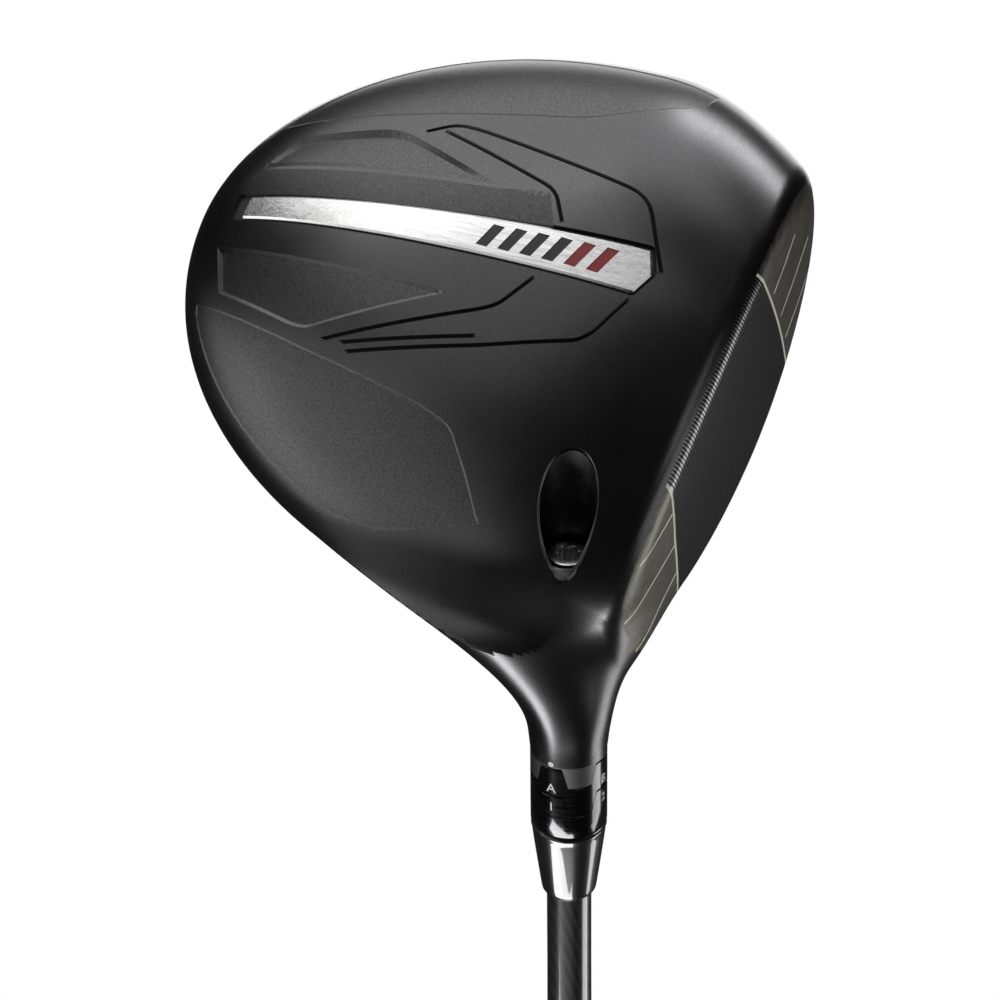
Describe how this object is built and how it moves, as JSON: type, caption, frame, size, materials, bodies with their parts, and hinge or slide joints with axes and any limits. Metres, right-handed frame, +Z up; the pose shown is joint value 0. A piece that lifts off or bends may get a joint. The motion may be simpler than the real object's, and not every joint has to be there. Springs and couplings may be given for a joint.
{
  "type": "golf driver",
  "caption": "Right-handed adjustable golf driver: hollow rounded head with an inlaid sole bar, screw-locked hosel sleeve and ring, tapered shaft and rubber grip.",
  "frame": {"origin": "middle of the small flat on the sole that the soled head rests on", "axes": "+Z up from the ground, -Y the way the face looks (to the target line's ball side), +X from toe to heel, so the shaft leans towards +X at its 58 degree lie"},
  "size_m": [0.7046, 0.1144, 0.9865],
  "materials": {
    "casting": "satin",
    "face": "satin",
    "crown": "gloss",
    "adhesive": "matte",
    "sole_bar": "satin",
    "mass": "satin",
    "resin": "satin",
    "screw": "satin",
    "nylon": "satin",
    "anodised": "gloss",
    "ferrule": "gloss",
    "shaft": "gloss",
    "cork": "matte",
    "tape": "matte",
    "rubber": "matte"
  },
  "bodies": {
    "head": {"head_casting": "casting", "face_cup": "face", "crown_shell": "crown", "crown_adhesive": "adhesive", "sole_bar": "sole_bar", "bar_adhesive": "adhesive", "rear_mass": "mass", "resin_pad": "resin", "screw_washer": "screw", "screw_retainer": "nylon"},
    "screw": {"hosel_screw": "screw"},
    "sleeve_seal": {"sleeve_o_ring": "rubber"},
    "ring": {"adjustment_ring": "anodised"},
    "shaft_assembly": {"shaft_sleeve": "anodised", "ferrule": "ferrule", "shaft": "shaft", "tip_plug": "cork", "grip_tape": "tape", "grip": "rubber", "grip_cap": "rubber"}
  },
  "joints": [
    {"name": "screw_turn", "type": "hinge", "parent": "head", "child": "screw", "pos_m": [0.0353, -0.0264, 0], "axis": [0.5299, 0, 0.848], "continuous": true},
    {"name": "shaft_pull", "type": "slide", "parent": "head", "child": "sleeve_seal", "axis": [0.5299, 0, 0.848], "range_m": [0, 0.05]},
    {"name": "ring_turn", "type": "hinge", "parent": "sleeve_seal", "child": "ring", "pos_m": [0.0353, -0.0264, 0], "axis": [0.5299, 0, 0.848], "continuous": true},
    {"name": "shaft_turn", "type": "hinge", "parent": "sleeve_seal", "child": "shaft_assembly", "pos_m": [0.0353, -0.0264, 0], "axis": [0.5299, 0, 0.848], "continuous": true}
  ]
}
